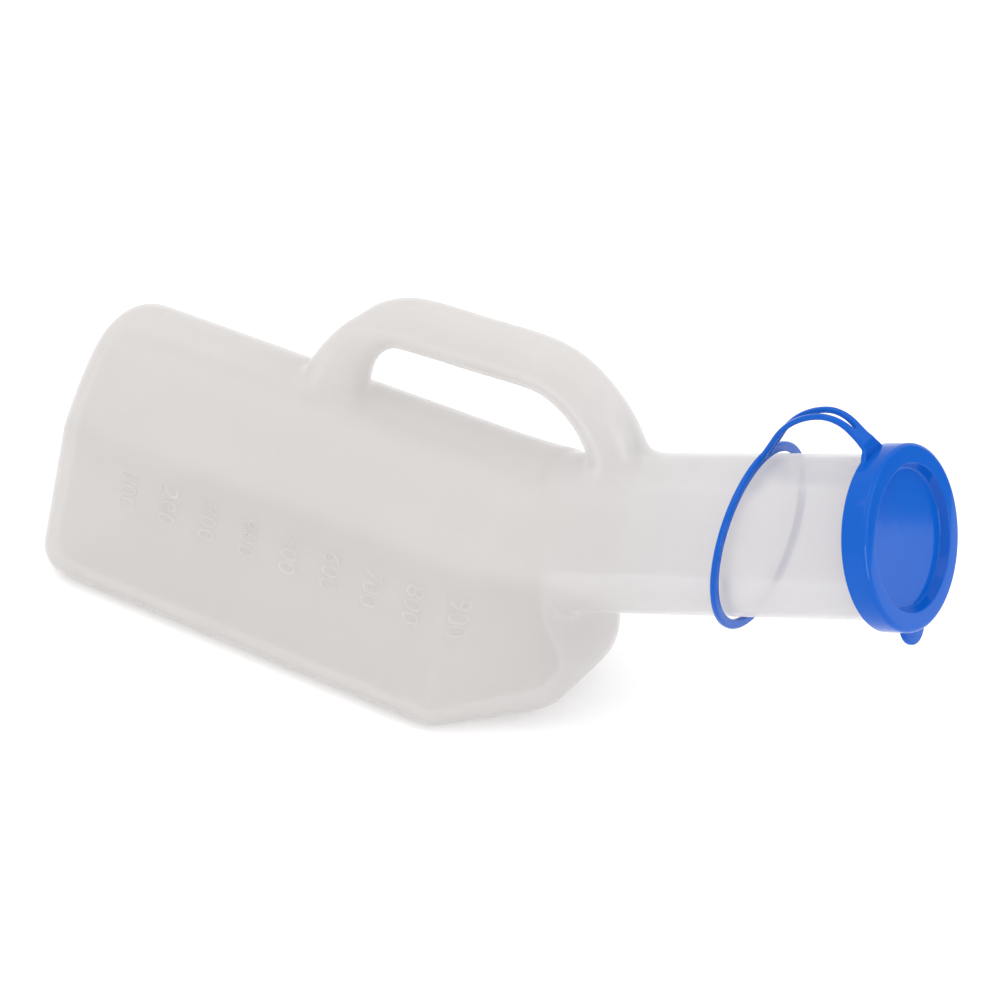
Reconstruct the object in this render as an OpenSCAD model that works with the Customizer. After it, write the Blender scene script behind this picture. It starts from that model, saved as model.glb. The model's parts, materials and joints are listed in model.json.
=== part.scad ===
// Male urine bottle with a loop handle and a tethered snap lid, lying on its flat side.
// +X runs along the body towards the mouth, +Z is up on the handle's side, and y = 0 is
// the plane of symmetry. The origin is on the resting side, at the middle of its length.
// All lengths are millimetres.

/* [Body] */
// Length of the flat side that the bottle lies on, from the base
body_len = 163; // [150:1:175]
// Height of the body at the base, from the resting side to the crown
body_height = 89; // [84:1:94]
// Width of the body at the base
body_width = 97; // [92:1:102]
// Radius of the rounded crown, along the handle's side
crown_r = 27; // [24:1:30]
// Radius of the two long edges beside the resting side
edge_r = 11; // [8:1:14]
// Lean of the side walls above those edges, in degrees
side_lean = 7; // [4:1:10]
// Growth of the section from the base to the shoulder
body_growth = 1.03; // [1:0.01:1.05]
// Rounding of the base's rim
base_r = 12; // [8:1:14]
// Wall thickness
wall = 1.2; // [1:0.1:1.6]

/* [Shoulder and neck] */
// Distance from the base to the front of the shoulder's lower corners
shoulder_x = 200.3; // [196:0.1:204]
// Width of the shoulder across its lower corners
shoulder_w = 68; // [62:1:74]
// Outside radius of those corners
shoulder_r = 22; // [18:0.5:24]
// Outside radius of the neck
neck_r = 27; // [25:0.5:27.5]
// Length of the neck along its axis, from the shoulder to the rim
neck_len = 133.4; // [125:0.1:140]
// Angle between the neck's axis and the body, in degrees
neck_tilt = 20.85; // [17:0.05:24]
// Height of the lip around the rim
lip_h = 1.3; // [0.8:0.1:1.4]

/* [Handle] */
// Radius of the hollow handle
handle_r = 9.3; // [8:0.1:10]
// Length of the straight grip
grip_len = 46; // [40:1:50]
// Height of the grip's centre line above the crown, at the base end
grip_height = 35.4; // [33:0.1:38]
// Distance from the base to the start of the grip
grip_x = 124; // [120:1:128]
// Rise of the grip towards the mouth, in degrees
grip_rise = 4; // [2:0.5:6]

/* [Lid] */
// Outside radius of the cap
cap_r = 30.7; // [30.4:0.1:32]
// Depth of the cap's skirt
cap_depth = 9.2; // [8:0.1:10]
// Depth of the dished middle of the cap
dish_depth = 3.4; // [2.5:0.1:5]
// Outside radius of the neck ring
ring_r = 32.3; // [32.2:0.1:34]
// Width of the neck ring's flat band
ring_w = 3.3; // [3:0.1:3.4]
// Lean of the neck ring, in degrees
ring_tilt = 18.5; // [12:0.5:18.5]
// Distance between the two strands of the strap
strand_gap = 5.2; // [4:0.2:8]
// Width of a strand
strand_w = 2.3; // [1.8:0.1:2.6]
// Width of the pull tab
tab_w = 15; // [12:0.5:17]

/* [Hidden] */
$fn = 96;
slice = 0.01;
blue = "#2a63d2";
milk = "#e2dedb";

// Centre of the row's origin along the body
mid_x = body_len / 2;

// The body's half section is a chain of tangent arcs: crown, side wall and long edge.
// side_extra is what the side wall's radius has over the crown's, found from the two ends
// of the chain, and chain_angle is where the crown hands over to the side wall.
corner_y = body_width / 2 - edge_r;
heel_y = shoulder_w / 2 - shoulder_r;
lean_dir = [cos(side_lean), sin(side_lean)];
chain = [-corner_y, body_height - crown_r - edge_r];
r_step = crown_r - edge_r;
side_extra = -(chain * chain + 2 * r_step * (chain * lean_dir) + r_step * r_step)
    / (2 * (chain * lean_dir + r_step));
to_crown = chain + (side_extra + r_step) * lean_dir;
chain_angle = atan2(to_crown[1], to_crown[0]);
side_r = crown_r + side_extra;
crown_c = [0, body_height - crown_r];
side_c = crown_c - side_extra * [cos(chain_angle), sin(chain_angle)];
edge_c = [corner_y, edge_r];

// The neck's axis starts behind the shoulder's furthest point, at the height of its slope
root_back = 16;
root_x = shoulder_x - root_back;
root_z = 65.7;
bore_r = neck_r - wall;
lip_len = 2.4;
// The shoulder meets the neck just inside its surface
neck_step = 0.3;

// The handle's bends are a hair slimmer than its straight lengths, and overlap them
rear_bend = 30;
rear_sweep = 68;
front_bend = 34;
front_bend_sweep = 72;
bend_step = 0.06;
bend_lap = 1;

// The cap is measured from the plane of the neck's rim
cap_web = 1.5;
cap_gap = 0.1;
skirt_t = 1.6;
cap_front = neck_len + cap_web + cap_gap;
cap_back = cap_front - cap_depth;
skirt_r = cap_r - skirt_t;
dish_r = 24.3;
floor_r = dish_r - 1.4;
plug_r = bore_r - 0.4;
plug_taper = 1.9;

// The fold between strap and cap: a bead on the strap in a round seat on the cap's lug
hinge_s = cap_back + 1;
hinge_h = cap_r + 2.6;
bead_r = 1.4;
seat_gap = 0.12;

// The strap rises from the ring in a line and an arc, and falls to the fold in an arc and a
// line. Places are [away from the neck's axis, along it], and strap_top is the highest.
strap_top = [44.5, 112.2];
rear_r = 25;
fall_r = 12.5;
ring_s = 76.9;
ring_t = 2;
ring_mid_r = ring_r - ring_w / 2;
strap_foot = [ring_mid_r * cos(ring_tilt), ring_s + ring_mid_r * sin(ring_tilt)];
to_foot = [strap_foot[0] - strap_top[0] + rear_r, strap_top[1] - strap_foot[1]];
to_fold = [hinge_h - strap_top[0] + fall_r, hinge_s - strap_top[1]];
rear_angle = tangent_angle(to_foot, rear_r);
fall_angle = tangent_angle(to_fold, fall_r);
fall_len = tangent_length(to_fold, fall_r);
// The strands stop short of the ring by the gap
strand_t = 2;
ring_meet = 90 - rear_angle - ring_tilt;
ring_reach = ring_w / 2 * cos(ring_meet) + ring_t / 2 * sin(ring_meet);
rear_len = tangent_length(to_foot, rear_r) - ring_reach - cap_gap;
root_t = 2;
root_w = strand_gap + strand_w;
fold_w = 11;

// Angle from an arc's top to where it runs into a straight line to p, seen from its centre
function tangent_angle(p, r) = atan2(p[1], p[0]) - acos(r / norm(p));

// Length of that line
function tangent_length(p, r) = sqrt(p * p - r * r);

// Points along an arc, from angle a to angle b
function arc(c, r, a, b, steps) =
    [for (i = [0:steps]) c + r * [cos(a + (b - a) * i / steps), sin(a + (b - a) * i / steps)]];

// One side of the body's section, from the crown to the resting side
function half_section(inset) = concat(
    arc(crown_c, crown_r - inset, 90, chain_angle, 12),
    arc(side_c, side_r - inset, chain_angle, side_lean, 10),
    arc(edge_c, edge_r - inset, side_lean, -90, 8));

function mirrored(points) = [for (i = [len(points) - 1:-1:0]) [-points[i][0], points[i][1]]];

// A thin slice of the body, at a distance from the base
module body_slice(x, inset, growth = 1) {
    side = half_section(inset);
    translate([x - mid_x, 0, 0]) rotate([90, 0, 90])
        linear_extrude(slice) scale([growth, growth]) polygon(concat(side, mirrored(side)));
}

// Puts its children on the neck: z along the axis from its root, x away from the handle
module on_neck(s = 0) {
    translate([root_x - mid_x, 0, root_z]) rotate([0, 90 - neck_tilt, 0])
        translate([0, 0, s]) children();
}

// The same, for flat profiles in the plane of symmetry: x towards the handle, y along the axis
module on_neck_plane() {
    on_neck() mirror([1, 0, 0]) rotate([90, 0, 0]) children();
}

// Body and shoulder as one rounded form, shrunk by the inset for the cavity
module body_form(inset) {
    hull() {
        for (a = [0:22.5:90]) {
            body_slice(base_r - (base_r - inset) * sin(a), inset + (base_r - inset) * (1 - cos(a)));
        }
        body_slice(body_len, inset, body_growth);
        for (side = [-1, 1]) {
            translate([shoulder_x - shoulder_r - mid_x, side * heel_y, shoulder_r])
                sphere(shoulder_r - inset, $fn = 48);
        }
        on_neck(-slice) cylinder(r = neck_r - inset - neck_step, h = slice, $fn = 64);
    }
}

// A bend from the grip's end down to the body, and the straight leg below it
module bend_and_leg(bend, sweep, r, leg) {
    translate([0, -bend]) rotate(90 - sweep) {
        rotate_extrude(angle = sweep) translate([bend, 0]) circle(r - bend_step);
        translate([bend, bend_lap]) rotate([90, 0, 0]) cylinder(r = r, h = leg + bend_lap);
    }
}

// The handle's path at radius r: the grip with a bend and a leg at each end
module handle_tube(r, leg) {
    rotate([90, 0, 0]) translate([grip_x - mid_x, body_height + grip_height]) rotate(grip_rise) {
        translate([-bend_lap, 0]) rotate([0, 90, 0]) cylinder(r = r, h = grip_len + 2 * bend_lap);
        mirror([1, 0, 0]) bend_and_leg(rear_bend, rear_sweep, r, leg);
        translate([grip_len, 0]) bend_and_leg(front_bend, front_bend_sweep, r, leg);
    }
}

// Hollow bottle: body, shoulder, neck and handle in one moulding
module bottle_shell() {
    leg_len = 17;
    buried = 14;
    color(milk) difference() {
        union() {
            body_form(0);
            on_neck(-buried) cylinder(r = neck_r, h = neck_len + buried);
            on_neck(neck_len - lip_len) cylinder(r = neck_r + lip_h, h = lip_len);
            handle_tube(handle_r, leg_len);
        }
        body_form(wall);
        on_neck(-buried) cylinder(r = bore_r, h = neck_len + 2 * buried);
        handle_tube(handle_r - wall, leg_len + 2);
    }
}

// Loose ring that keeps the lid on the neck
module neck_ring() {
    color(blue) on_neck(ring_s) rotate([0, ring_tilt, 0]) rotate_extrude()
        translate([ring_r - ring_w, -ring_t / 2]) square([ring_w, ring_t]);
}

// One strand from the strap's top: an arc of radius r, then a straight length
module strand(r, sweep, len) {
    translate([strap_top[0] - r, 0, 0]) {
        rotate_extrude(angle = sweep)
            translate([r - strand_t / 2, -strand_w / 2]) square([strand_t, strand_w]);
        if (len > 0) {
            rotate(sweep) translate([r - strand_t / 2, 0, -strand_w / 2])
                cube([strand_t, len, strand_w]);
        }
    }
}

// Two strands from the ring, over the gap, to the strap's root
module strap_strands() {
    color(blue) on_neck_plane() for (side = [-1, 1]) {
        translate([0, strap_top[1], side * strand_gap / 2]) {
            rotate([180, 0, 0]) strand(rear_r, rear_angle, rear_len);
            strand(fall_r, fall_angle, 0);
        }
    }
}

// Flat web where the strands join, widening to the round bead at the fold
module strap_root() {
    color(blue) on_neck_plane() translate([strap_top[0] - fall_r, strap_top[1], 0])
        rotate(fall_angle) {
            translate([fall_r - root_t / 2, 0, 0]) rotate([90, 0, 90]) linear_extrude(root_t)
                polygon([
                    [0, -root_w / 2], [fall_len / 2, -root_w / 2], [fall_len, -fold_w / 2],
                    [fall_len, fold_w / 2], [fall_len / 2, root_w / 2], [0, root_w / 2]
                ]);
            translate([fall_r, fall_len, -fold_w / 2]) cylinder(r = bead_r, h = fold_w);
        }
}

// Lug on the cap's skirt, with the seat for the strap's bead
module fold_lug() {
    lug_w = 13;
    lug_t = 2;
    overhang = 0.6;
    tip = 1;
    difference() {
        translate([tip - hinge_h, -lug_w / 2, -cap_depth - overhang])
            cube([cap_r / 4, lug_w, lug_t]);
        translate([0, 0, -cap_depth - lug_t]) cylinder(r = cap_r, h = 2 * lug_t);
        translate([-hinge_h, lug_w, hinge_s - cap_front]) rotate([90, 0, 0])
            cylinder(r = bead_r + seat_gap, h = 2 * lug_w);
    }
}

// Snap cap with a dished middle that plugs the bore, and the lug at its fold
module lid_cap() {
    edge = 1;
    plug_end = -dish_depth - cap_web + cap_gap;
    color(blue) on_neck(cap_front) {
        rotate_extrude() polygon([
            [0, -dish_depth], [floor_r, -dish_depth], [dish_r, -edge / 2], [dish_r + edge / 2, 0],
            [cap_r - edge, 0], [cap_r, -edge], [cap_r, -cap_depth], [skirt_r, -cap_depth],
            [skirt_r, -cap_web], [plug_r, -cap_web], [plug_r - plug_taper, plug_end], [0, plug_end]
        ]);
        fold_lug();
    }
}

// Rounded tab that the fingers lift, opposite the strap
module pull_tab() {
    tab_out = 0.3;
    color(blue) on_neck(cap_back) difference() {
        translate([cap_r + tab_out, 0, 0]) cylinder(d = tab_w, h = root_t);
        translate([0, 0, -1]) cylinder(r = cap_r, h = root_t + 2);
    }
}

bottle_shell();
neck_ring();
strap_strands();
strap_root();
lid_cap();
pull_tab();
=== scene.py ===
"""Looks for a urine bottle that lies on its flat side, with its neck tilted up.

Lengths are millimetres in the row frame until a mesh is made. The bottle's outside is one
signed distance field (body, neck and handle with soft joins), turned into a mesh and given an
inner wall. The lid's pieces are turned or swept profiles placed on the neck's axis, which
comes from the frame's joints.
"""

import json
import math

import bmesh
import bpy
import numpy as np
from mathutils import Matrix, Vector
from mathutils.bvhtree import BVHTree


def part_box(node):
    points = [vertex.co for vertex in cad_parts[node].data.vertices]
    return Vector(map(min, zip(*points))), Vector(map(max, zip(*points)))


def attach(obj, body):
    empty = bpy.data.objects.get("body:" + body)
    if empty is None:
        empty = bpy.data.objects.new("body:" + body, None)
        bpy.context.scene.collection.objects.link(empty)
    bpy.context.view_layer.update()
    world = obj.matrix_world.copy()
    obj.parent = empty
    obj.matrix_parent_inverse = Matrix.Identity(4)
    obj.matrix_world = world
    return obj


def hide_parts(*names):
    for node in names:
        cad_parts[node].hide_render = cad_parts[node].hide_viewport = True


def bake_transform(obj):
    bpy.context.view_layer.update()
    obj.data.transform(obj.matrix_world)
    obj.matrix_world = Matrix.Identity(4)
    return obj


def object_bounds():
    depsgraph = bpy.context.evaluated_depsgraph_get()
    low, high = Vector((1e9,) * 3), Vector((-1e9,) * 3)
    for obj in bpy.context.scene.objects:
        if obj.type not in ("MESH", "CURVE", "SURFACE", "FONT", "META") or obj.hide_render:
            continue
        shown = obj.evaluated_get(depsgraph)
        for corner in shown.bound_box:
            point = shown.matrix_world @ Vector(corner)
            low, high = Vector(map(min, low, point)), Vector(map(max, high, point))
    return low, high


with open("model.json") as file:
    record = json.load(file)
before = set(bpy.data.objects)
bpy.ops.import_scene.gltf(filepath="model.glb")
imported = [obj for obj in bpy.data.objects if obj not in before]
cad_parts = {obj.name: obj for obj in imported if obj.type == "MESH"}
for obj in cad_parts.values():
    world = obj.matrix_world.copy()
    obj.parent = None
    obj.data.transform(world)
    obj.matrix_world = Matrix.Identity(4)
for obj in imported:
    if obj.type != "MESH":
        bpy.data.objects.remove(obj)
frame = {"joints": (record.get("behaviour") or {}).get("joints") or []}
cad_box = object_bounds()
joints = {j["name"]: j for j in frame["joints"]}
MM = 0.001

# Body, in millimetres
BODY_LEN = 163.0
BODY_H = 89.0
BODY_GROWTH = 1.03
CROWN_R = 27.0
EDGE_R = 11.0
BASE_R = 12.0
RIDGE_R = 12.0
WALL_LEAN = 14.0
RIDGE_LEAN = 28.0
CROWN_LEAN = 46.0
SHOULDER_X = 200.3
SHOULDER_W = 68.0
SHOULDER_R = 22.0
WALL = 1.2
CELL = 1.5

# Neck and lid, in millimetres. A place on the neck is (up, s): up away from its axis on the
# handle's side, and s along it.
NECK_R = 27.0
NECK_LEN = 133.4
LIP_H = 1.2
CAP_FRONT = NECK_LEN + 1.6
CAP_DEPTH = 9.2
CAP_R = 30.7
RING_R = 32.3
RING_W = 3.3
RING_TILT = 18.5
RING_S = 76.9
STRAP_TOP = (44.5, 112.2)
REAR_R = 25.0
FALL_R = 12.5
STRAND_GAP = 5.2
STRAND_W = 2.2
STRAP_T = 1.9
STRAP_CUT = 15.0
STRAP_LAP = 0.5
TAB_R = 7.3
TAB_T = 1.8

# Moulded numbers, in millimetres
MARK_FIRST = 34.8
MARK_STEP = 16.6
MARK_HEIGHT = 45.4
MARK_SIZE = 9.6
MARK_SUNK = 0.02

base_x = cad_box[0][0] / MM
body_w = 2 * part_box("bottle_shell")[1][1] / MM / BODY_GROWTH
neck_root = np.array(joints["lid_turn"]["pos_m"]) / MM
neck_dir = np.array(joints["lid_turn"]["axis"])
neck_up = np.array([-neck_dir[2], 0.0, neck_dir[0]])
across = np.array([0.0, 1.0, 0.0])
hinge = np.array(joints["cap_hinge"]["pos_m"]) / MM


# ---------------------------------------------------------------- geometry helpers

def unit(degrees):
    """Direction in a plane, from its angle."""
    a = np.radians(degrees)
    return np.array([np.cos(a), np.sin(a)])


def arc(centre, radius, start, end, steps):
    """Points along an arc, angles in degrees."""
    a = np.radians(np.linspace(start, end, steps + 1))
    return np.array(centre) + radius * np.c_[np.cos(a), np.sin(a)]


def on_neck(across_mm, up_mm, s):
    """Row-frame point from a place beside the neck's axis, up towards the handle, and along it."""
    return neck_root + across_mm * across + up_mm * neck_up + s * neck_dir


def new_piece(name, verts, faces, smooth=True):
    """A mesh object from millimetre vertices in the row frame."""
    mesh = bpy.data.meshes.new(name)
    mesh.from_pydata((np.asarray(verts) * MM).tolist(), [], [list(f) for f in faces])
    mesh.update()
    if smooth:
        mesh.polygons.foreach_set("use_smooth", [True] * len(mesh.polygons))
    piece = bpy.data.objects.new(name, mesh)
    bpy.context.scene.collection.objects.link(piece)
    return piece


def outward(piece):
    """Turns the faces of a closed mesh outwards."""
    bm = bmesh.new()
    bm.from_mesh(piece.data)
    bmesh.ops.recalc_face_normals(bm, faces=bm.faces)
    bm.to_mesh(piece.data)
    bm.free()
    return piece


def fillet(points, radii, steps=5):
    """A closed or open outline with its corners rounded; a radius of 0 keeps the corner."""
    points = [np.array(p, float) for p in points]
    out = []
    for i, (p, r) in enumerate(zip(points, radii)):
        if r == 0 or i in (0, len(points) - 1):
            out.append(p)
            continue
        a, b = points[i - 1] - p, points[i + 1] - p
        a, b = a / np.linalg.norm(a), b / np.linalg.norm(b)
        half = math.acos(float(np.clip(a @ b, -1, 1))) / 2
        reach = r / math.tan(half)
        centre = p + (a + b) / np.linalg.norm(a + b) * r / math.sin(half)
        start, end = p + a * reach - centre, p + b * reach - centre
        for t in np.linspace(0, 1, steps + 1):
            mix = start * (1 - t) + end * t
            out.append(centre + mix / np.linalg.norm(mix) * r)
    return np.array(out)


def lathe(name, profile, s0, segments=192, tilt=0.0):
    """Turns a profile of (r, s) points about the neck's axis; tilt leans it, in degrees."""
    a = np.radians(tilt)
    up = neck_up * np.cos(a) + neck_dir * np.sin(a)
    along = neck_dir * np.cos(a) - neck_up * np.sin(a)
    centre = neck_root + s0 * neck_dir
    turn = np.linspace(0, 2 * np.pi, segments, endpoint=False)
    ray = np.cos(turn)[:, None] * up + np.sin(turn)[:, None] * across
    closed = np.allclose(profile[0], profile[-1])
    prof = profile[:-1] if closed else profile
    verts, rings = [], []
    for r, s in prof:
        if r < 1e-6:
            rings.append([len(verts)])
            verts.append(centre + s * along)
        else:
            rings.append(list(range(len(verts), len(verts) + segments)))
            verts.extend(centre + r * ray + s * along)
    faces = []
    for i in range(len(rings) - (0 if closed else 1)):
        a_ring, b_ring = rings[i], rings[(i + 1) % len(rings)]
        for k in range(segments):
            n = (k + 1) % segments
            quad = [a_ring[k % len(a_ring)], a_ring[n % len(a_ring)],
                    b_ring[n % len(b_ring)], b_ring[k % len(b_ring)]]
            face = list(dict.fromkeys(quad))
            if len(face) > 2:
                faces.append(face)
    return outward(new_piece(name, verts, faces))


# ---------------------------------------------------------------- the bottle's distance field

def half_section():
    """Half of the body's section as (y, z): crown, upper side, soft ridge, flat side, long edge."""
    crown_c = np.array([0.0, BODY_H - CROWN_R])
    edge_c = np.array([body_w / 2 - EDGE_R, EDGE_R])
    wall_dir = unit(WALL_LEAN + 90)
    foot = edge_c + EDGE_R * unit(WALL_LEAN)
    ridge_0 = foot - RIDGE_R * unit(WALL_LEAN)
    # The flat side's length and the upper side's radius close the chain of tangent arcs
    known = crown_c - ridge_0 + CROWN_R * unit(CROWN_LEAN) - RIDGE_R * unit(RIDGE_LEAN)
    system = np.c_[wall_dir, unit(CROWN_LEAN) - unit(RIDGE_LEAN)]
    flat_len, upper_r = np.linalg.solve(system, known)
    ridge_c = ridge_0 + flat_len * wall_dir
    upper_c = crown_c - (upper_r - CROWN_R) * unit(CROWN_LEAN)
    return [(crown_c, CROWN_R, 90, CROWN_LEAN, 10), (upper_c, upper_r, CROWN_LEAN, RIDGE_LEAN, 8),
            (ridge_c, RIDGE_R, RIDGE_LEAN, WALL_LEAN, 5), (edge_c, EDGE_R, WALL_LEAN, -90, 12)]


def section(inset=0.0, growth=1.0):
    """The whole section's points, shrunk by the inset and grown about the resting side."""
    half = np.vstack([arc(c, r - min(inset, r - 0.1), a, b, n)
                      for c, r, a, b, n in half_section()])
    return growth * np.vstack([half, half[::-1] * [-1, 1]])


def body_points():
    """Points whose convex hull is the body and shoulder."""
    parts = []
    for a in np.radians(np.linspace(0, 90, 7)):
        x = BASE_R * (1 - np.sin(a))
        yz = section(inset=BASE_R * (1 - np.cos(a)))
        parts.append(np.c_[np.full(len(yz), x), yz])
    yz = section(growth=BODY_GROWTH)
    parts.append(np.c_[np.full(len(yz), BODY_LEN), yz])
    k = np.arange(400) + 0.5
    polar, turn = np.arccos(1 - k / 200), np.pi * (1 + 5 ** 0.5) * k
    ball = np.c_[np.cos(turn) * np.sin(polar), np.sin(turn) * np.sin(polar), np.cos(polar)]
    for side in (-1, 1):
        centre = [SHOULDER_X - SHOULDER_R, side * (SHOULDER_W / 2 - SHOULDER_R), SHOULDER_R]
        parts.append(centre + SHOULDER_R * ball)
    points = np.vstack(parts) + [base_x, 0, 0]
    turn = np.linspace(0, 2 * np.pi, 72, endpoint=False)
    ring = [on_neck(NECK_R * np.sin(t), NECK_R * np.cos(t), 0) for t in turn]
    return np.vstack([points, ring])


def hull_planes(points):
    """Outward unit normals and offsets of a convex hull's faces."""
    bm = bmesh.new()
    for p in points:
        bm.verts.new(p)
    bmesh.ops.convex_hull(bm, input=bm.verts)
    bm.normal_update()
    middle = points.mean(0)
    planes = {}
    for f in bm.faces:
        n = np.array(f.normal)
        d = float(n @ np.array(f.verts[0].co))
        if n @ middle > d:
            n, d = -n, -d
        if f.calc_area() > 1e-4:
            planes[tuple(np.round(n, 3)) + (round(d, 1),)] = (n, d)
    bm.free()
    return (np.array([p[0] for p in planes.values()]), np.array([p[1] for p in planes.values()]))


def handle_path():
    """The handle's centre line as (x, z, radius), through the points that shape it."""
    knots = np.array([
        [88, 76, 12], [91, 88, 11.6], [94.3, 98, 10.2], [98.6, 107.2, 8.5], [105, 115.2, 7.6],
        [113, 121.5, 8.3], [124, 124.5, 9.4], [148, 126.1, 9.5], [170, 127.4, 9.5],
        [181.5, 124.9, 9.7], [191.3, 118.6, 9.8], [198.3, 110.5, 10.1], [203.5, 100, 10.6],
        [206, 90, 11]])
    knots[:, 0] += base_x
    padded = np.vstack([2 * knots[0] - knots[1], knots, 2 * knots[-1] - knots[-2]])
    out = []
    for i in range(len(knots) - 1):
        p0, p1, p2, p3 = padded[i:i + 4]
        for t in np.linspace(0, 1, 6, endpoint=False):
            out.append(0.5 * (2 * p1 + (p2 - p0) * t + (2 * p0 - 5 * p1 + 4 * p2 - p3) * t ** 2
                              + (3 * p1 - p0 - 3 * p2 + p3) * t ** 3))
    return np.array(out + [knots[-1]])


def soft_min(a, b, k):
    """Smaller of two distances, with a fillet of about k where they meet."""
    h = np.maximum(k - np.abs(a - b), 0) / k
    return np.minimum(a, b) - h * h * k / 4


planes = hull_planes(body_points())
path = handle_path()


def body_distance(p):
    """Distance to the body and shoulder, taken in blocks to keep memory small."""
    out = np.empty(len(p))
    for i in range(0, len(p), 20000):
        block = p[i:i + 20000].astype(np.float32) @ planes[0].T.astype(np.float32)
        out[i:i + 20000] = (block - planes[1].astype(np.float32)).max(1)
    return out


def neck_distance(p):
    """Distance to the neck, which runs from inside the body to past its rim."""
    q = p - neck_root
    s = q @ neck_dir
    radial = np.hypot(q @ neck_up, q[:, 1])
    return np.maximum(radial - NECK_R, np.maximum(-s - 30, s - NECK_LEN - 5))


def handle_distance(p):
    """Distance to the handle, a chain of short cones along its centre line."""
    best = np.full(len(p), 60.0)
    near = (np.abs(p[:, 1]) < 30) & (p[:, 2] > 60)
    q = p[near]
    low = np.full(len(q), 60.0)
    for a, b in zip(path[:-1], path[1:]):
        ab = b[:2] - a[:2]
        rel = np.c_[q[:, 0] - a[0], q[:, 2] - a[1]]
        t = np.clip(rel @ ab / (ab @ ab), 0, 1)
        off = rel - t[:, None] * ab
        d = np.sqrt((off ** 2).sum(1) + q[:, 1] ** 2) - (a[2] + t * (b[2] - a[2]))
        low = np.minimum(low, d)
    best[near] = low
    return best


def bottle_distance(p):
    """The bottle's outside: body, neck and handle, with the mould's soft joins."""
    whole = soft_min(body_distance(p), neck_distance(p), 7.0)
    return soft_min(whole, handle_distance(p), 5.0)


# ---------------------------------------------------------------- mesh from the field

def field_grid(low, high, step):
    """Samples the field on a grid, finely only near the surface."""
    size = np.ceil((high - low) / step).astype(int) + 1
    coarse = 4
    csize = size // coarse + 2
    ci = np.stack(np.meshgrid(*[np.arange(n) for n in csize], indexing="ij"), -1).reshape(-1, 3)
    cvals = bottle_distance(low + ci * step * coarse).reshape(csize)
    values = np.kron(cvals, np.ones((coarse,) * 3))[:size[0], :size[1], :size[2]]
    close = np.argwhere(np.abs(values) < step * coarse * 2.2)
    values[tuple(close.T)] = bottle_distance(low + close * step)
    return values


def surface_nets(values, low, step):
    """One vertex for each cell that the surface crosses, one quad for each crossed edge."""
    inside = values < 0
    shape = np.array(values.shape) - 1
    corners = [np.array(c) for c in np.ndindex(2, 2, 2)]
    part = [inside[c[0]:c[0] + shape[0], c[1]:c[1] + shape[1], c[2]:c[2] + shape[2]]
            for c in corners]
    count = sum(x.astype(np.int8) for x in part)
    cells = np.argwhere((count > 0) & (count < 8))
    index = -np.ones(shape, int)
    index[tuple(cells.T)] = np.arange(len(cells))
    total, hits = np.zeros((len(cells), 3)), np.zeros(len(cells))
    for axis in range(3):
        for c in corners:
            if c[axis]:
                continue
            e = c.copy()
            e[axis] = 1
            va, vb = values[tuple((cells + c).T)], values[tuple((cells + e).T)]
            cross = (va < 0) != (vb < 0)
            t = np.where(cross, va / np.where(va == vb, 1, va - vb), 0)
            total += np.where(cross[:, None], c + t[:, None] * (e - c), 0)
            hits += cross
    verts = low + (cells + total / hits[:, None]) * step
    quads = []
    for axis in range(3):
        u, v = (axis + 1) % 3, (axis + 2) % 3
        a = [slice(None)] * 3
        b = [slice(None)] * 3
        a[axis], b[axis] = slice(0, -1), slice(1, None)
        edges = np.argwhere(inside[tuple(a)] != inside[tuple(b)])
        edges = edges[(edges[:, u] > 0) & (edges[:, v] > 0)]
        down_u, down_v = np.zeros(3, int), np.zeros(3, int)
        down_u[u], down_v[v] = 1, 1
        ring = [edges, edges - down_u, edges - down_u - down_v, edges - down_v]
        quad = np.stack([index[tuple(r.T)] for r in ring], 1)
        flip = inside[tuple(edges.T)]
        quad[~flip] = quad[~flip][:, ::-1]
        quads.append(quad)
    return verts, np.vstack(quads)


def relax(verts, quads, share):
    """Moves each vertex part of the way to the middle of its neighbours."""
    total, hits = np.zeros_like(verts), np.zeros(len(verts))
    for k in range(4):
        for j in (1, 3):
            np.add.at(total, quads[:, k], verts[quads[:, (k + j) % 4]])
            np.add.at(hits, quads[:, k], 1)
    return verts * (1 - share) + total / hits[:, None] * share


def settle(verts, quads, rounds=4):
    """Evens out the mesh along the surface and pulls it back onto the field's zero."""
    for step in range(rounds):
        if step:
            verts = relax(verts, quads, 0.6)
        for _ in range(2):
            d = bottle_distance(verts)
            grad = np.stack([(bottle_distance(verts + e) - bottle_distance(verts - e)) / 0.6
                             for e in np.eye(3) * 0.3], 1)
            size = np.maximum((grad ** 2).sum(1), 0.2)
            verts = verts - grad * (d / size)[:, None]
    return verts


def lip_bulge(s):
    """How far the lip stands out of the neck, at a distance along it."""
    t = np.clip((s - (NECK_LEN - 3.4)) / 1.2, 0, 1)
    return LIP_H * t * t * (3 - 2 * t)


def form_lip(bm):
    """Cuts the mesh at the rim and swells its last millimetres into the lip."""
    for back in (3.4, 2.8, 2.2, 1.0, 0.0):
        bmesh.ops.bisect_plane(
            bm, geom=bm.verts[:] + bm.edges[:] + bm.faces[:], dist=1e-6,
            plane_co=Vector(on_neck(0, 0, NECK_LEN - back) * MM), plane_no=Vector(neck_dir),
            clear_outer=(back == 0.0))
    bmesh.ops.remove_doubles(bm, verts=bm.verts, dist=2e-5)
    for v in bm.verts:
        q = np.array(v.co) / MM - neck_root
        s = q @ neck_dir
        if s > NECK_LEN - 4:
            ray = q - s * neck_dir
            ray /= np.linalg.norm(ray)
            v.co = Vector((neck_root + s * neck_dir + ray * (NECK_R + lip_bulge(s))) * MM)


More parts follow.
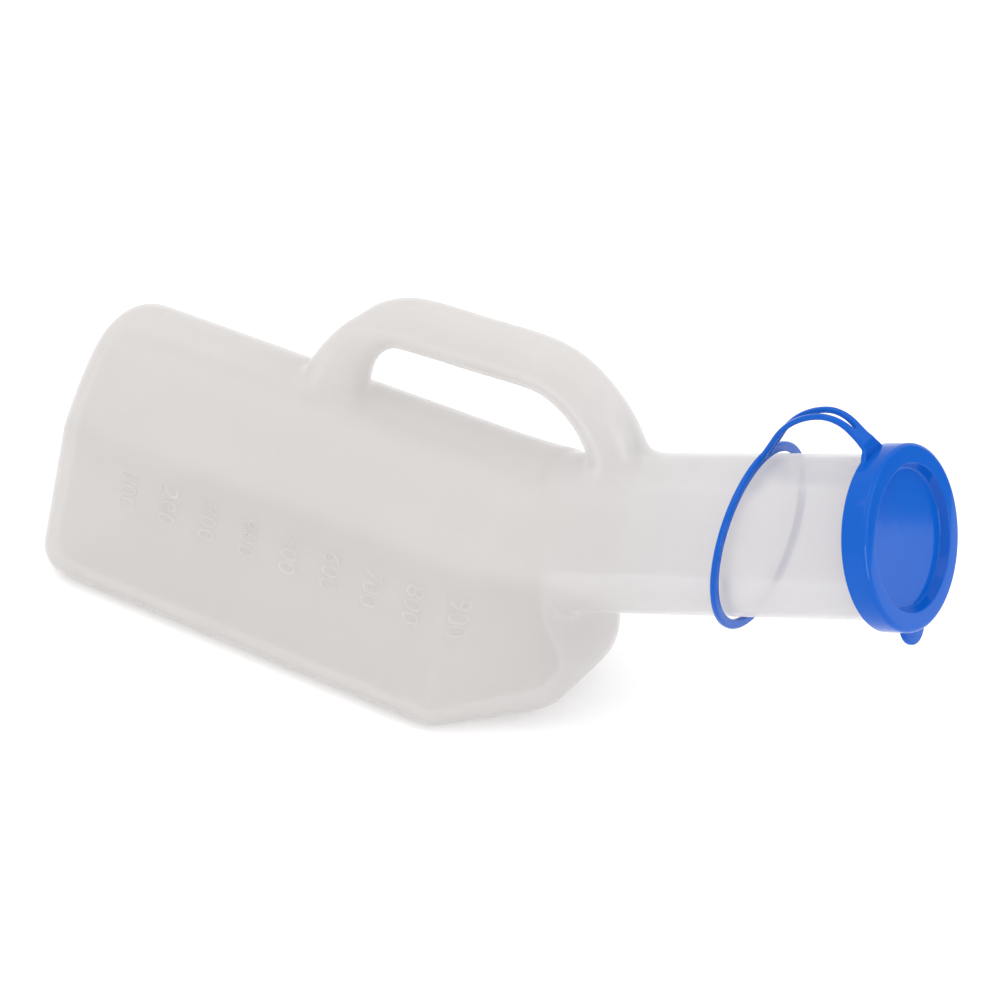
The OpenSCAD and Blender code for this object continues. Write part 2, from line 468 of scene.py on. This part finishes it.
def line_inside(bm):
    """Adds the inner wall and joins it to the outer one around the rim."""
    bmesh.ops.recalc_face_normals(bm, faces=bm.faces)
    bm.normal_update()
    inner_of = {v: bm.verts.new(v.co - v.normal * WALL * MM) for v in bm.verts[:]}
    rim = [e for e in bm.edges if e.is_boundary]
    for f in bm.faces[:]:
        bm.faces.new([inner_of[v] for v in reversed(f.verts)])
    for e in rim:
        a, b = e.verts
        bm.faces.new([a, b, inner_of[b], inner_of[a]])
    bmesh.ops.recalc_face_normals(bm, faces=bm.faces)


def build_shell():
    """The bottle: outside from the field, cut at the rim, with the lip and an inner wall."""
    low = np.array([base_x - 4.0, -body_w / 2 * BODY_GROWTH - 4, -4.0])
    high = np.array(cad_box[1]) / MM + 6
    high[1] = -low[1]
    verts, quads = surface_nets(field_grid(low, high, CELL), low, CELL)
    verts = settle(verts, quads)
    shell = new_piece("bottle_body", verts, quads)
    bm = bmesh.new()
    bm.from_mesh(shell.data)
    form_lip(bm)
    line_inside(bm)
    for f in bm.faces:
        f.smooth = True
    bm.to_mesh(shell.data)
    bm.free()
    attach(shell, "bottle")
    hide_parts("bottle_shell")
    return shell


# ---------------------------------------------------------------- moulded graduations

def numeral(text, x, z, surface):
    """A raised number on the near side wall: it reads upright when the mouth is up."""
    curve = bpy.data.curves.new("mark_" + text, "FONT")
    curve.body = text
    curve.size = MARK_SIZE
    curve.align_x, curve.align_y = "CENTER", "CENTER"
    curve.resolution_u = 6
    curve.extrude, curve.bevel_depth, curve.bevel_resolution = 0.03, 0.12, 2
    curve.offset = -0.14
    source = bpy.data.objects.new("mark_source", curve)
    bpy.context.scene.collection.objects.link(source)
    bpy.context.view_layer.update()
    graph = bpy.context.evaluated_depsgraph_get()
    mesh = bpy.data.meshes.new_from_object(source.evaluated_get(graph))
    bpy.data.objects.remove(source)
    bm = bmesh.new()
    bm.from_mesh(mesh)
    bmesh.ops.subdivide_edges(bm, edges=[e for e in bm.edges if e.calc_length() > 1.5], cuts=1)
    lean = np.radians(WALL_LEAN)
    normal = np.array([0.0, -np.cos(lean), np.sin(lean)])
    down = np.array([0.0, -np.sin(lean), -np.cos(lean)])
    for v in bm.verts:
        p = np.array([x + v.co.y, 0.0, z]) + v.co.x * down - 60 * across
        hit = surface.ray_cast(Vector(p * MM), Vector(across))[0]
        v.co = Vector(np.array(hit) + normal * (v.co.z - MARK_SUNK) * MM)
    bmesh.ops.recalc_face_normals(bm, faces=bm.faces)
    bm.to_mesh(mesh)
    bm.free()
    mesh.name = "graduation_" + text
    mesh.polygons.foreach_set("use_smooth", [True] * len(mesh.polygons))
    piece = bpy.data.objects.new("graduation_" + text, mesh)
    bpy.context.scene.collection.objects.link(piece)
    return piece


def build_graduations(shell):
    """Nine numbers, 100 millilitres apart, up the near side."""
    bpy.context.view_layer.update()
    surface = BVHTree.FromObject(shell, bpy.context.evaluated_depsgraph_get())
    marks = []
    for k in range(9):
        place = base_x + MARK_FIRST + k * MARK_STEP
        mark = numeral(str(100 * (k + 1)), place, MARK_HEIGHT, surface)
        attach(mark, "bottle")
        marks.append(mark)
    return marks


# ---------------------------------------------------------------- the lid

def build_ring():
    """The loose ring: a thin flat band with soft edges, leaning on the neck."""
    outer, inner, half = RING_R, RING_R - RING_W, 1.0
    outline = [((outer + inner) / 2, half), (outer, half), (outer, -half), (inner, -half),
               (inner, half), ((outer + inner) / 2, half)]
    profile = fillet(outline, [0, 0.7, 0.7, 0.5, 0.5, 0], steps=4)
    ring = lathe("neck_ring_band", profile, RING_S, tilt=RING_TILT)
    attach(ring, "ring")
    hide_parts("neck_ring")
    return ring


def build_cap():
    """The snap cap: skirt, rolled front edge, dished middle and plug."""
    outline = [(0, -3.1), (22.9, -3.3), (24.2, 0.0), (CAP_R, 0.0), (CAP_R, -CAP_DEPTH),
               (CAP_R - 1.5, -CAP_DEPTH), (CAP_R - 1.6, -1.6), (25.3, -1.6), (23.6, -4.8), (0, -4.8)]
    profile = fillet(outline, [0, 0.9, 0.35, 1.7, 0.45, 0.3, 0.3, 0.3, 0.5, 0], steps=7)
    cap = lathe("cap_shell", profile, CAP_FRONT)
    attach(cap, "cap")
    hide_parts("lid_cap")
    return cap


def tangent(to_point, r):
    """Angle from an arc's top to its tangent line through a point, and that line's length."""
    away = float(np.hypot(*to_point))
    angle = math.degrees(math.atan2(to_point[1], to_point[0]) - math.acos(r / away))
    return angle, math.sqrt(away ** 2 - r ** 2)


def strap_line():
    """The strap's centre line as (up, s) points at even steps, and how far along its fold is."""
    top = np.array(STRAP_TOP)
    a = np.radians(RING_TILT)
    mid = RING_R - RING_W / 2
    foot = np.array([mid * np.cos(a), RING_S + mid * np.sin(a)])
    fold = np.array([(hinge - neck_root) @ neck_up, (hinge - neck_root) @ neck_dir])
    rear_c, fall_c = top - [REAR_R, 0], top - [FALL_R, 0]
    rear, _ = tangent((foot - rear_c) * [1, -1], REAR_R)
    fall, _ = tangent(fold - fall_c, FALL_R)
    inner = np.array([CAP_R - 1.2, fold[1] + 0.1])
    line = np.vstack([foot, arc(rear_c, REAR_R, -rear, 0, 20), arc(fall_c, FALL_R, 0, fall, 16)[1:],
                      fillet([fall_c + FALL_R * unit(fall), fold, inner], [0, 3.0, 0], 8)[1:]])
    along = np.r_[0, np.cumsum(np.hypot(*np.diff(line, axis=0).T))]
    steps = np.linspace(0, along[-1], 400)
    even = np.c_[np.interp(steps, along, line[:, 0]), np.interp(steps, along, line[:, 1])]
    gap = np.hypot(*(even - fold).T)
    return even, steps, steps[int(gap.argmin())]


def strap_distance(u, y, w, fold_u):
    """Distance to the flat strap laid out straight: u along it, y across and w through it."""
    y = np.abs(y)
    slot_end = fold_u - 7.4
    near_root = np.clip((u - slot_end + 9) / 9, 0, 1)
    half_slot = (STRAND_GAP - STRAND_W) / 2 - 0.85 * near_root ** 1.5
    flare = np.clip((u - fold_u + 4.5) / 6, 0, 1.3)
    foot = np.exp(-u / 1.8)
    half_w = STRAND_GAP / 2 + STRAND_W / 2 - 0.35 * near_root + 2.0 * flare ** 2 + foot
    slot = np.where(u < slot_end, y - half_slot, np.hypot(u - slot_end, y) - half_slot)
    side = np.maximum(y - half_w, -(slot + foot))
    thick = STRAP_T / 2 + 0.15 * foot - 0.35 * np.exp(-((u - fold_u) / 1.0) ** 2)
    edge = 0.65
    q0, q1 = side + edge, np.abs(w) - thick + edge
    outside = np.hypot(np.maximum(q0, 0), np.maximum(q1, 0))
    return outside + np.minimum(np.maximum(q0, q1), 0) - edge


def strap_piece(name, start, end, line, steps, fold_u):
    """A length of the strap: meshed while it is straight, then bent to its line."""
    cell = np.array([0.36, 0.3, 0.27])
    low = np.array([start - 2 * cell[0], -8.1, -1.75])
    size = np.ceil((np.array([end + 2 * cell[0], 8.1, 1.75]) - low) / cell).astype(int) + 1
    grid = low + np.stack(np.meshgrid(*[np.arange(n) for n in size], indexing="ij"), -1) * cell
    u, y, w = grid[..., 0], grid[..., 1], grid[..., 2]
    values = np.maximum(strap_distance(u, y, w, fold_u), np.maximum(start - u, u - end))
    verts, quads = surface_nets(values, low, cell)
    verts = relax(relax(verts, quads, 0.5), quads, 0.5)
    verts[:, 0] = np.clip(verts[:, 0], start, end)
    slope = np.gradient(line, steps, axis=0)
    up, s = (np.interp(verts[:, 0], steps, line[:, k]) for k in (0, 1))
    du, ds = (np.interp(verts[:, 0], steps, slope[:, k]) for k in (0, 1))
    size = np.hypot(du, ds)
    up, s = up + verts[:, 2] * ds / size, s - verts[:, 2] * du / size
    places = (neck_root + verts[:, 1:2] * across + up[:, None] * neck_up + s[:, None] * neck_dir)
    return outward(new_piece(name, places, quads))


def build_strap():
    """The strap in two lapped lengths: strands that stretch to the ring, and the root that folds."""
    line, steps, fold_u = strap_line()
    middle = fold_u - STRAP_CUT
    strands = strap_piece("strap_pair", 0.0, middle + STRAP_LAP, line, steps, fold_u)
    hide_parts("strap_strands")
    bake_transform(strands)
    root = strap_piece("strap_fold", middle - STRAP_LAP, steps[-1], line, steps, fold_u)
    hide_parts("strap_root")
    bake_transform(root)
    return [strands, root]


def build_tab():
    """The pull tab: a rounded tongue on the back of the skirt, opposite the strap."""
    centre, inside = CAP_R + 0.3, CAP_R - 0.9
    back = CAP_FRONT - CAP_DEPTH + 0.1
    outline = [(-TAB_R - 0.4, inside), (-TAB_R, centre)]
    outline += [(y, centre - up) for y, up in arc((0, 0), TAB_R, 180, 360, 32)[1:-1]]
    outline += [(TAB_R, centre), (TAB_R + 0.4, inside)]
    bm = bmesh.new()
    low = [bm.verts.new(on_neck(y, -r, back) * MM) for y, r in outline]
    face = bm.faces.new(low)
    top = bmesh.ops.extrude_face_region(bm, geom=[face])
    for g in top["geom"]:
        if isinstance(g, bmesh.types.BMVert):
            g.co += Vector(neck_dir * TAB_T * MM)
    bmesh.ops.recalc_face_normals(bm, faces=bm.faces)
    edges = [e for e in bm.edges if e.calc_face_angle(0) > 1.0]
    bmesh.ops.bevel(bm, geom=edges, offset=0.5 * MM, segments=4, profile=0.5, affect="EDGES",
                    clamp_overlap=True)
    mesh = bpy.data.meshes.new("tab_tongue")
    bm.to_mesh(mesh)
    bm.free()
    mesh.polygons.foreach_set("use_smooth", [True] * len(mesh.polygons))
    tab = bpy.data.objects.new("tab_tongue", mesh)
    bpy.context.scene.collection.objects.link(tab)
    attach(tab, "cap")
    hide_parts("pull_tab")
    return tab


# ---------------------------------------------------------------- materials

def material(name):
    """An empty node material and a helper that adds nodes to it."""
    mat = bpy.data.materials.new(name)
    mat.use_nodes = True
    tree = mat.node_tree
    tree.nodes.clear()

    def add(kind, **inputs):
        node = tree.nodes.new(kind)
        for key, value in inputs.items():
            target = node.inputs[key.replace("_", " ")]
            if isinstance(value, bpy.types.NodeSocket):
                tree.links.new(value, target)
            else:
                target.default_value = value
        return node

    return mat, tree, add


def painted_ridge_shade(tree, add, place, colour):
    """The colour with painted shade: a darker band along the side's soft ridge, a touch darker below
    it, full colour above.
    """
    lean = add("ShaderNodeVectorMath", Vector=place)
    lean.operation = "DOT_PRODUCT"
    lean.inputs[1].default_value = (-0.011, 0.0, 1.0)
    # Painted shade across the ridge, taken from the height on the side
    band = add("ShaderNodeValToRGB")
    tree.links.new(lean.outputs["Value"], band.inputs["Fac"])
    ramp = band.color_ramp
    ramp.interpolation = "EASE"
    ridge_z = half_section()[2][0][1] * MM + RIDGE_R * MM * math.sin(math.radians(21))
    painted_shade_levels = ((-0.016, 0.990), (0.001, 0.962), (0.007, 1.0))
    for stop, (offset, level) in enumerate(painted_shade_levels):
        point = ramp.elements[stop] if stop < 2 else ramp.elements.new(1.0)
        point.position = ridge_z + offset
        point.color = (level, level, level * 1.004, 1)
    mix = add("ShaderNodeMix", Factor=1.0)
    mix.data_type, mix.blend_type = "RGBA", "MULTIPLY"
    tree.links.new(colour, mix.inputs["A"])
    tree.links.new(band.outputs["Color"], mix.inputs["B"])
    return mix.outputs["Result"]


def milky_colour(tree, add, place):
    """Warm milky white, faintly clouded, with a few dark specks moulded in."""
    cloud = add("ShaderNodeTexNoise", Vector=place, Scale=28.0, Detail=3.0, Roughness=0.5)
    tone = add("ShaderNodeMix", Factor=cloud.outputs["Fac"])
    tone.data_type = "RGBA"
    tone.inputs["A"].default_value = (0.851, 0.829, 0.805, 1)
    tone.inputs["B"].default_value = (0.876, 0.856, 0.836, 1)
    speck = add("ShaderNodeTexVoronoi", Vector=place, Scale=52.0)
    spot = add("ShaderNodeMapRange", Value=speck.outputs["Distance"])
    spot.inputs["From Min"].default_value = 0.010
    spot.inputs["From Max"].default_value = 0.026
    dark = add("ShaderNodeMix", Factor=spot.outputs["Result"])
    dark.data_type = "RGBA"
    dark.inputs["A"].default_value = (0.50, 0.47, 0.45, 1)
    tree.links.new(tone.outputs["Result"], dark.inputs["B"])
    return dark.outputs["Result"]


def milky_relief(add, place):
    """The surface's normal: fine mould grain over long, shallow waves."""
    grain = add("ShaderNodeTexNoise", Vector=place, Scale=900.0, Detail=2.0, Roughness=0.6)
    waves = add("ShaderNodeTexNoise", Vector=place, Scale=55.0, Detail=1.0)
    fine = add("ShaderNodeBump", Height=grain.outputs["Fac"], Strength=0.05, Distance=0.0004)
    soft = add("ShaderNodeBump", Height=waves.outputs["Fac"], Strength=0.12, Distance=0.002,
               Normal=fine.outputs["Normal"])
    return soft.outputs["Normal"]


def mixed(tree, add, first, second, share):
    """Mixes two shaders; the share of the second is a number or a node's output."""
    mix = add("ShaderNodeMixShader", Fac=share)
    tree.links.new(first.outputs[0], mix.inputs[1])
    tree.links.new(second.outputs[0], mix.inputs[2])
    return mix


def clear_share(add, place, clearness):
    """How see-through the wall is: least in the body, most in the thin neck."""
    along = add("ShaderNodeSeparateXYZ", Vector=place)
    thin = add("ShaderNodeMapRange", Value=along.outputs["X"])
    thin.inputs["From Min"].default_value = 0.09
    thin.inputs["From Max"].default_value = 0.15
    thin.inputs["To Min"].default_value = clearness * 0.6
    thin.inputs["To Max"].default_value = clearness
    return thin.outputs["Result"]


def milky_polyethylene(name="milky_polyethylene", clearness=0.62):
    """Translucent blow-moulded polyethylene, part see-through and part milky, with a soft sheen,
    painted shade along the side's ridge and a faint painted glow.
    """
    mat, tree, add = material(name)
    place = add("ShaderNodeTexCoord").outputs["Object"]
    plain = milky_colour(tree, add, place)
    # The diffuse and translucent colour carries the painted shade along the ridge
    colour = painted_ridge_shade(tree, add, place, plain)
    normal = milky_relief(add, place)
    matt = add("ShaderNodeBsdfDiffuse", Color=colour, Roughness=0.4, Normal=normal)
    through = add("ShaderNodeBsdfTranslucent", Color=colour, Normal=normal)
    # Painted light: a faint glow of the plain milky colour, added on top of the wall's shading
    painted_glow = add("ShaderNodeEmission", Color=plain, Strength=0.03)
    milk = add("ShaderNodeAddShader")
    tree.links.new(mixed(tree, add, matt, through, 0.5).outputs[0], milk.inputs[0])
    tree.links.new(painted_glow.outputs[0], milk.inputs[1])
    clear = add("ShaderNodeBsdfTransparent", Color=(0.915, 0.915, 0.93, 1))
    wall = mixed(tree, add, milk, clear, clear_share(add, place, clearness))
    gloss = add("ShaderNodeBsdfGlossy", Color=(1, 1, 1, 1), Roughness=0.3, Normal=normal)
    fresnel = add("ShaderNodeFresnel", IOR=1.4, Normal=normal)
    sheen = add("ShaderNodeMapRange", Value=fresnel.outputs[0])
    sheen.inputs["To Max"].default_value = 0.5
    skin = mixed(tree, add, wall, gloss, sheen.outputs["Result"])
    out = add("ShaderNodeOutputMaterial")
    tree.links.new(skin.outputs[0], out.inputs["Surface"])
    return mat


def blue_polyethylene():
    """Glossy injection-moulded plastic in a clear blue, faintly uneven."""
    mat, tree, add = material("blue_polyethylene")
    place = add("ShaderNodeTexCoord").outputs["Object"]
    drift = add("ShaderNodeTexNoise", Vector=place, Scale=60.0, Detail=2.0)
    grain = add("ShaderNodeTexNoise", Vector=place, Scale=700.0, Detail=3.0)
    tone = add("ShaderNodeMix", Factor=drift.outputs["Fac"])
    tone.data_type = "RGBA"
    tone.inputs["A"].default_value = (0.002, 0.092, 0.475, 1)
    tone.inputs["B"].default_value = (0.003, 0.105, 0.525, 1)
    rough = add("ShaderNodeMapRange", Value=grain.outputs["Fac"])
    rough.inputs["To Min"].default_value = 0.06
    rough.inputs["To Max"].default_value = 0.12
    bump = add("ShaderNodeBump", Height=grain.outputs["Fac"], Strength=0.02, Distance=0.0003)
    soft = add("ShaderNodeBump", Height=drift.outputs["Fac"], Strength=0.05, Distance=0.0012,
               Normal=bump.outputs["Normal"])
    shade = add("ShaderNodeBsdfPrincipled", Roughness=rough.outputs["Result"], IOR=1.48,
                Specular_IOR_Level=0.16, Normal=soft.outputs["Normal"])
    tree.links.new(tone.outputs["Result"], shade.inputs["Base Color"])
    out = add("ShaderNodeOutputMaterial")
    tree.links.new(shade.outputs[0], out.inputs["Surface"])
    return mat


def floor_material():
    """Matt white studio paper with a trace of tooth."""
    mat, tree, add = material("studio_white")
    place = add("ShaderNodeTexCoord").outputs["Object"]
    tooth = add("ShaderNodeTexNoise", Vector=place, Scale=400.0, Detail=2.0)
    bump = add("ShaderNodeBump", Height=tooth.outputs["Fac"], Strength=0.02, Distance=0.0005)
    shade = add("ShaderNodeBsdfDiffuse", Color=(0.93, 0.93, 0.93, 1), Normal=bump.outputs["Normal"])
    glow = add("ShaderNodeEmission", Color=(1, 1, 1, 1), Strength=0.16)
    both = add("ShaderNodeAddShader")
    tree.links.new(shade.outputs[0], both.inputs[0])
    tree.links.new(glow.outputs[0], both.inputs[1])
    out = add("ShaderNodeOutputMaterial")
    tree.links.new(both.outputs[0], out.inputs["Surface"])
    return mat


def dress(piece, mat):
    """Gives a piece its one material."""
    piece.data.materials.clear()
    piece.data.materials.append(mat)


# ---------------------------------------------------------------- studio

def build_floor(mat):
    """A large pale floor just under the resting side."""
    verts = [(-4000, -4000, -0.05), (4000, -4000, -0.05), (4000, 4000, -0.05), (-4000, 4000, -0.05)]
    floor = new_piece("studio_floor", verts, [[0, 1, 2, 3]], smooth=False)
    dress(floor, mat)


def area_light(name, place, target, size, power):
    """A rectangular soft light aimed at a point, in metres."""
    data = bpy.data.lights.new(name, "AREA")
    data.shape, data.energy = "RECTANGLE", power
    data.size, data.size_y = size
    lamp = bpy.data.objects.new(name, data)
    lamp.location = place
    lamp.rotation_euler = (Vector(target) - Vector(place)).to_track_quat("-Z", "Y").to_euler()
    bpy.context.scene.collection.objects.link(lamp)
    return lamp


def build_surround():
    """An even white surround."""
    world = bpy.data.worlds.new("studio_surround")
    bpy.context.scene.world = world
    world.use_nodes = True
    sky = world.node_tree.nodes["Background"]
    sky.inputs["Color"].default_value = (1, 1, 1, 1)
    sky.inputs["Strength"].default_value = 1.0


def build_flag(eye, mat):
    """A grey card, seen only in reflections, whose edge crosses the reflection in the cap."""
    reach, half_long, deep = 250.0, 120.0, 160.0
    hits = []
    for up, side in ((7, -15), (-1.3, 22.7), (18, 4)):
        spot = on_neck(side, up, CAP_FRONT - 3.2)
        ray = (spot - eye) / np.linalg.norm(spot - eye)
        hits.append(spot + reach * (ray - 2 * (ray @ neck_dir) * neck_dir))
    edge = (hits[1] - hits[0]) / np.linalg.norm(hits[1] - hits[0])
    away = hits[2] - hits[0]
    away -= (away @ edge) * edge
    away /= np.linalg.norm(away)
    corners = [hits[0] - half_long * edge, hits[0] + half_long * edge]
    corners += [corners[1] + deep * away, corners[0] + deep * away]
    flag = new_piece("studio_flag", corners, [[0, 1, 2, 3]], smooth=False)
    flag.visible_camera = flag.visible_diffuse = flag.visible_transmission = False
    flag.visible_shadow = False
    dress(flag, mat)


def flag_material():
    """Grey cloth with a faint weave."""
    mat, tree, add = material("studio_grey")
    weave = add("ShaderNodeTexNoise", Scale=300.0)
    tone = add("ShaderNodeMix", Factor=weave.outputs["Fac"])
    tone.data_type = "RGBA"
    tone.inputs["A"].default_value = (0.16, 0.16, 0.16, 1)
    tone.inputs["B"].default_value = (0.20, 0.20, 0.20, 1)
    shade = add("ShaderNodeBsdfDiffuse")
    tree.links.new(tone.outputs["Result"], shade.inputs["Color"])
    out = add("ShaderNodeOutputMaterial")
    tree.links.new(shade.outputs[0], out.inputs["Surface"])
    return mat


def build_lights():
    """A broad key from above, a broad front light, and one seen only as a glint on edges."""
    middle = (0.05, 0.0, 0.05)
    area_light("key", (-0.3, -0.5, 1.4), middle, (1.2, 1.2), 5.5)
    area_light("front", (1.2, 0.1, 0.9), middle, (1.0, 1.0), 3.5)
    glint = area_light("glint", (1.25, -0.75, 0.3), (0.2, 0.0, 0.12), (0.5, 0.8), 9.0)
    glint.visible_diffuse = glint.visible_transmission = False


def build_camera():
    """The camera: azimuth, elevation and roll in degrees, millimetres seen across at the bottle."""
    azimuth, elevation, roll = 28.13, 33.39, 4.62
    distance, view_width = 1678.0, 349.13
    aside, down = 69.641, 6.850
    az, el, ro = np.radians([azimuth, elevation, roll])
    back = np.array([np.sin(az) * np.cos(el), -np.cos(az) * np.cos(el), np.sin(el)])
    right = np.array([np.cos(az), np.sin(az), 0])
    up = np.cross(back, right)
    right, up = (np.cos(ro) * right + np.sin(ro) * up, -np.sin(ro) * right + np.cos(ro) * up)
    aim = np.array([80 + base_x, 0, 45])
    place = aim + distance * back + aside * right - down * up
    data = bpy.data.cameras.new("camera")
    data.sensor_width = 36
    data.lens = data.sensor_width * distance / view_width
    data.clip_end = 20
    cam = bpy.data.objects.new("camera", data)
    cam.matrix_world = Matrix([
        [right[0], up[0], back[0], place[0] * MM], [right[1], up[1], back[1], place[1] * MM],
        [right[2], up[2], back[2], place[2] * MM], [0, 0, 0, 1]])
    bpy.context.scene.collection.objects.link(cam)
    bpy.context.scene.camera = cam
    return place


def main():
    """Builds every piece, dresses it, and sets the studio."""
    milk, blue = milky_polyethylene(), blue_polyethylene()
    marks = milky_polyethylene("milky_polyethylene_thick", 0.5)
    shell = build_shell()
    dress(shell, milk)
    for piece in build_graduations(shell):
        dress(piece, marks)
    for piece in [build_ring(), build_cap(), build_tab()] + build_strap():
        dress(piece, blue)
    build_floor(floor_material())
    build_surround()
    build_lights()
    build_flag(build_camera(), flag_material())
    bpy.context.scene.view_settings.view_transform = "Standard"


main()
